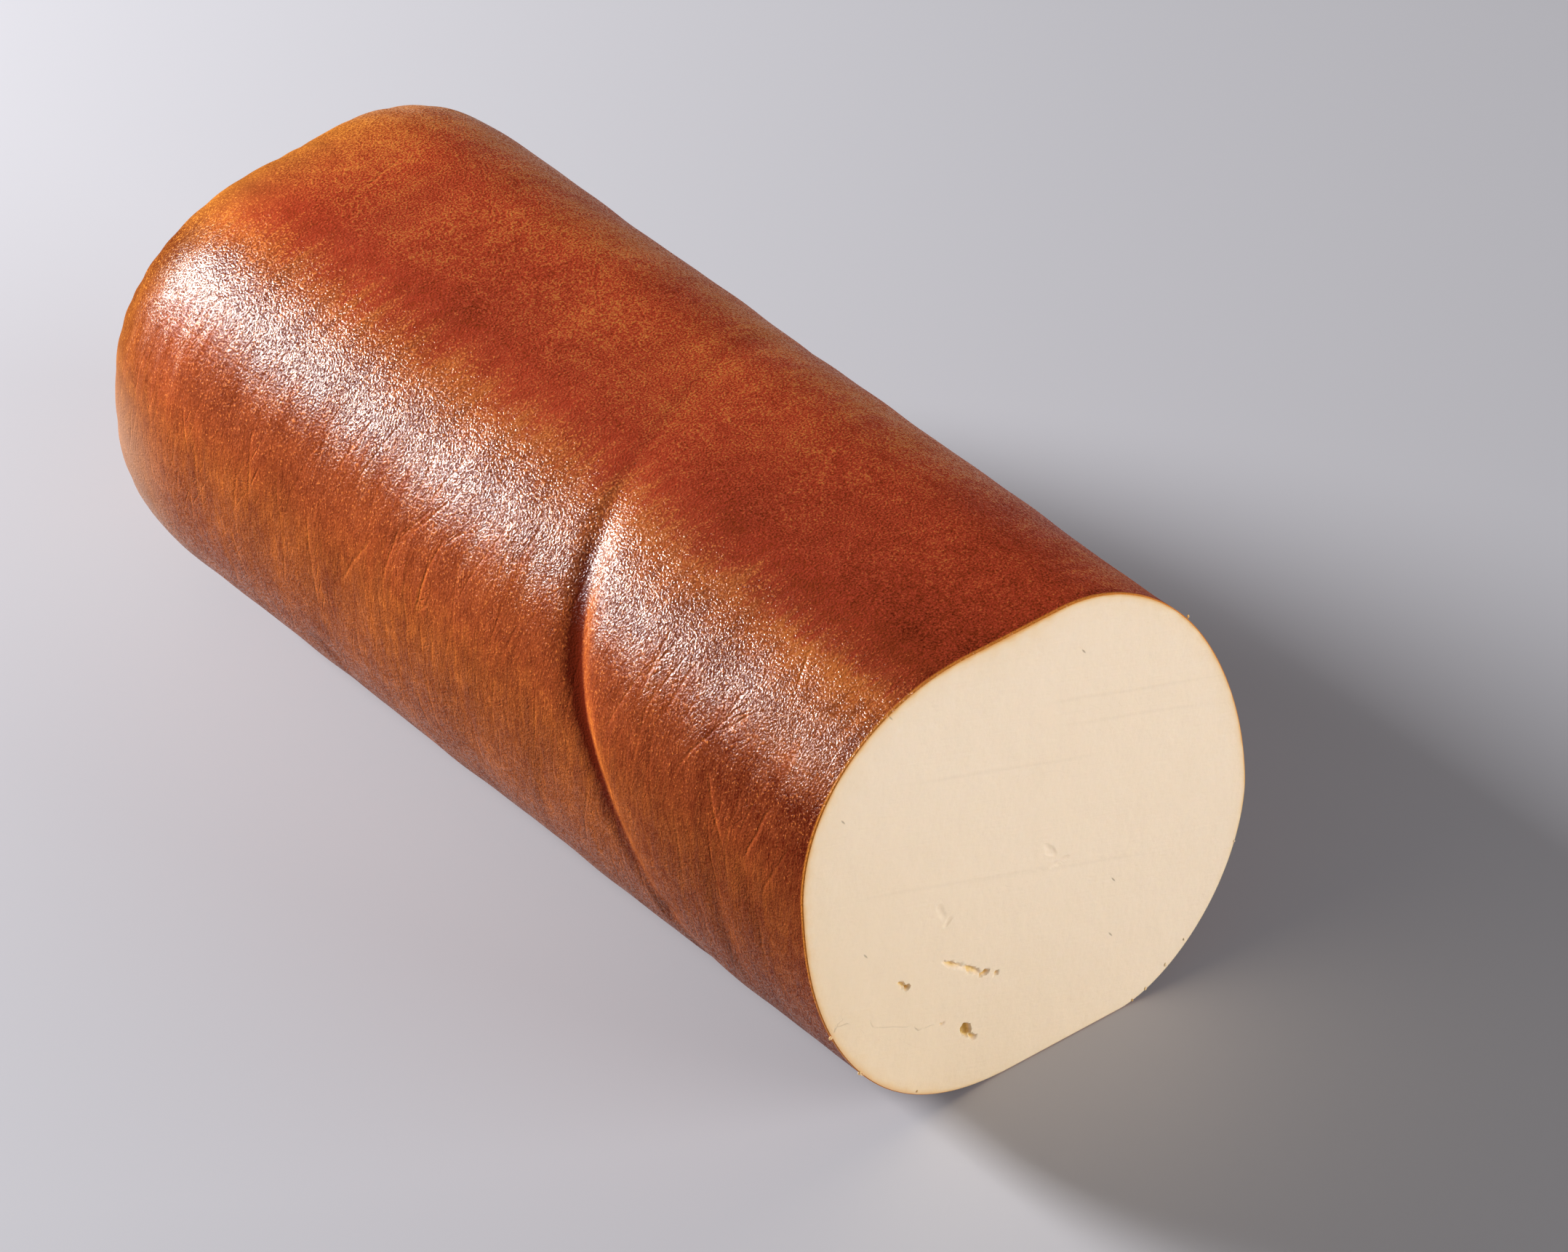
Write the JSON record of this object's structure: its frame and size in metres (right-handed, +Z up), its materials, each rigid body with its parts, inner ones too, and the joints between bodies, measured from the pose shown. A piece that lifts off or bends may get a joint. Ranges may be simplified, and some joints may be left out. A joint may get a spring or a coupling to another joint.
{
  "type": "smoked processed cheese",
  "caption": "Cut half of a smoked processed cheese log with a brown satin skin, a slanted string crease, a rounded end and a flat cream cut face; it lies on a flat foot.",
  "frame": {"origin": "middle of the bounding box's bottom, on the surface that the log rests on", "axes": "+X along the log towards the cut face, +Y across it, +Z up"},
  "size_m": [0.2518, 0.113, 0.1004],
  "materials": {
    "smoked_skin": "satin smoked skin, mottled orange to red brown, with a fine grain",
    "cheese_paste": "matte cream cut face with faint knife lines and a few small pits"
  },
  "bodies": {
    "root": {"cheese_log": "smoked_skin"}
  },
  "joints": []
}
